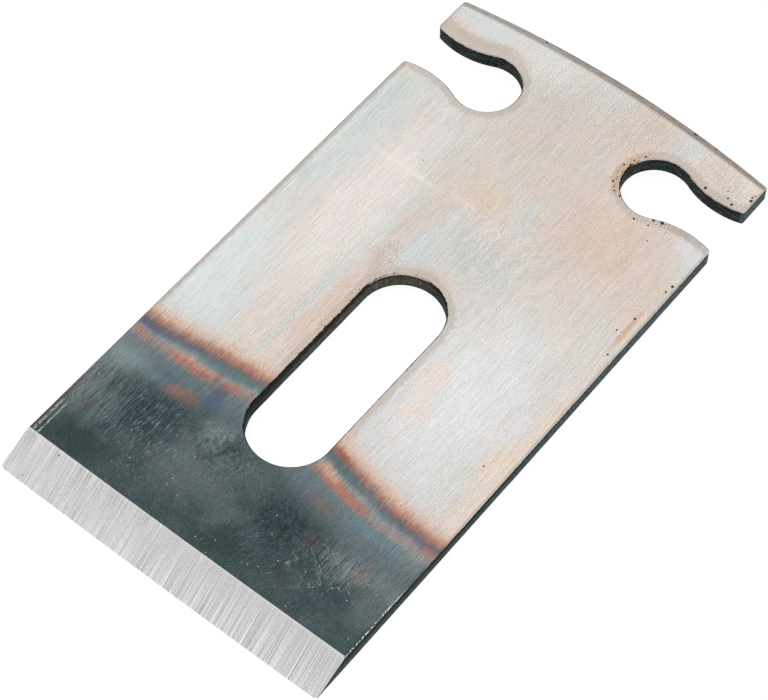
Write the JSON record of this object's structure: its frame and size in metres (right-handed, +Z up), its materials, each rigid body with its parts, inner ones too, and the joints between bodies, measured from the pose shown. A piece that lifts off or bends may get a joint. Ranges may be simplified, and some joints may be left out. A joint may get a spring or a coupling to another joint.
{
  "type": "planer knife",
  "caption": "Flat steel planer knife with a bevel-ground cutting edge, a central adjusting slot, open keyhole notches in its sides and a domed far end.",
  "frame": {"origin": "on the flat back, in the middle of the blade's overall width and length", "axes": "+X across the blade, to the right when it is seen from above with the cutting edge nearest; +Y from the cutting edge to the domed far end; +Z up, out of the face that carries the bevel"},
  "size_m": [0.054, 0.1024, 0.0028],
  "materials": {
    "steel": "brushed and heat tinted, with a fresh ground bevel and dark scale on the cut walls"
  },
  "bodies": {
    "root": {"knife_blade": "steel"}
  },
  "joints": []
}
